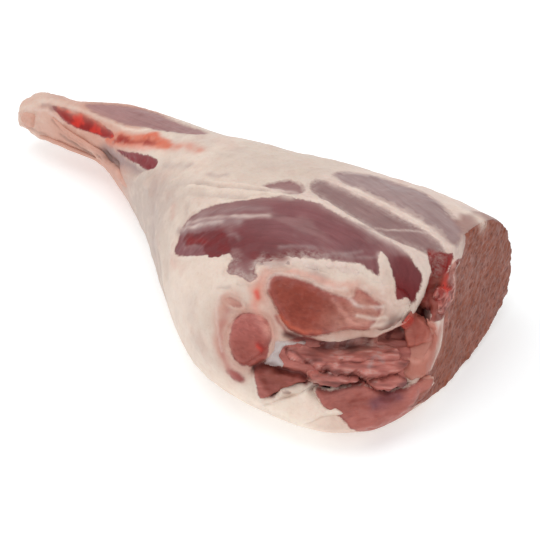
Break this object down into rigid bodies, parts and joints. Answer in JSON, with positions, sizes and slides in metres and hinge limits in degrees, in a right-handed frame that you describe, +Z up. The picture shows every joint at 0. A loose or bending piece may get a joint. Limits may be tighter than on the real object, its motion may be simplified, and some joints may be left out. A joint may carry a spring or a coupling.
{
  "type": "raw leg of lamb",
  "caption": "Whole raw leg of lamb, bone in, lying on its outer side, with its shank, a thin cover of fat, bare muscles on top and a deep cut where the pelvis was taken out",
  "frame": {"origin": "centre of the leg's bounding box, on the plane it lies on", "axes": "+Z up, +X along the leg from the shank to the cut butt end, +Y toward the knee side, -Y toward the fat-covered back of the thigh"},
  "size_m": [0.3929, 0.1967, 0.1002],
  "materials": {
    "raw_meat": "moist raw lamb: cream fat cover, grey-white fascia, purple muscle under silverskin and brown-pink cut meat"
  },
  "bodies": {
    "root": {"leg_of_lamb": "raw_meat"}
  },
  "joints": []
}
